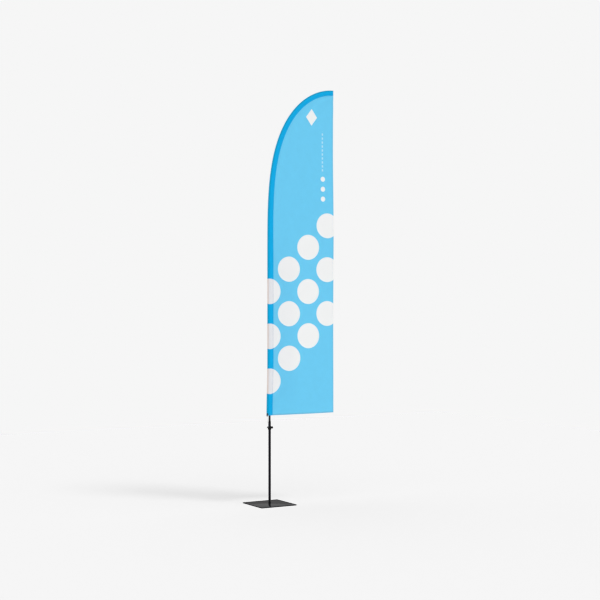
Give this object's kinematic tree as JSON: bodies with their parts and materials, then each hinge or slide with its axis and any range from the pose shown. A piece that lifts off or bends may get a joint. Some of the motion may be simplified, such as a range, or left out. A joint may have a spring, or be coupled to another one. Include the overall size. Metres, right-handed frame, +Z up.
{
  "type": "feather flag",
  "caption": "Tall blue feather flag on a bent plug-together pole that turns on a flat square steel base, tensioned by an elastic cord and a clamp.",
  "frame": {"origin": "centre of the base plate's underside, on the axis that the flag turns about", "axes": "+Z up along the pole, +X from the pole towards the flag's free edge, +Y through the cloth; the decorated side that is seen faces -Y"},
  "size_m": [0.9532, 0.4, 4.2245],
  "materials": {
    "base_coating": "satin",
    "bright_steel": "satin",
    "spring_steel": "satin",
    "blackened_steel": "satin",
    "pole_anodised": "satin",
    "pole_composite": "satin",
    "clamp_plastic": "matte",
    "black_rubber": "matte",
    "brass_insert": "satin",
    "blackened_brass": "satin",
    "sleeve_cloth": "matte",
    "panel_cloth": "matte",
    "tab_webbing": "matte",
    "elastic_cord": "matte"
  },
  "bodies": {
    "base": {"base_plate": "base_coating", "base_stud": "bright_steel", "bearing_housing": "base_coating", "bearing_outer_ring": "bright_steel", "housing_circlip": "spring_steel"},
    "cage": {"ball_cage": "bright_steel"},
    "spindle": {"bearing_inner_ring": "bright_steel", "spindle_circlip": "spring_steel", "spindle": "blackened_steel", "spindle_grip_ring_1": "black_rubber", "spindle_grip_ring_2": "black_rubber"},
    "mast": {"foot_socket": "clamp_plastic", "pole_section_1": "pole_anodised", "pole_ferrule_1": "pole_anodised", "joint_rod_1": "pole_anodised", "pole_section_2": "pole_anodised", "pole_ferrule_2": "pole_anodised", "joint_rod_2": "pole_anodised", "pole_section_3": "pole_composite", "pole_ferrule_3": "pole_anodised", "pole_section_4": "pole_composite", "pole_tip_cap": "clamp_plastic", "flag_sleeve": "sleeve_cloth", "sleeve_end_patch": "sleeve_cloth", "flag_panel": "panel_cloth", "corner_tab": "tab_webbing", "corner_eyelet": "blackened_brass", "tension_cord": "elastic_cord", "upper_knot": "elastic_cord"},
    "collar": {"clamp_collar": "clamp_plastic", "clamp_insert": "brass_insert", "lower_knot": "elastic_cord"},
    "thumb_screw": {"thumb_stud": "bright_steel", "thumb_knob": "clamp_plastic"}
  },
  "joints": [
    {"name": "spindle_turn", "type": "hinge", "parent": "base", "child": "spindle", "pos_m": [0, 0, 0.0205], "axis": [0, 0, 1], "continuous": true},
    {"name": "cage_turn", "type": "hinge", "parent": "base", "child": "cage", "pos_m": [0, 0, 0.0205], "axis": [0, 0, 1], "continuous": true},
    {"name": "mast_lift", "type": "slide", "parent": "spindle", "child": "mast", "axis": [0, 0, 1], "range_m": [0, 0.17]},
    {"name": "collar_slide", "type": "slide", "parent": "mast", "child": "collar", "axis": [0, 0, 1], "range_m": [-0.05, 0.02], "deforming": ["tension_cord"]},
    {"name": "thumb_screw_turn", "type": "hinge", "parent": "collar", "child": "thumb_screw", "pos_m": [0.02, 0, 0.771], "axis": [1, 0, 0], "range_deg": [0, 540]}
  ],
  "couplings": [
    {"joint": "cage_turn", "follows": "spindle_turn", "ratio": 0.4172}
  ]
}
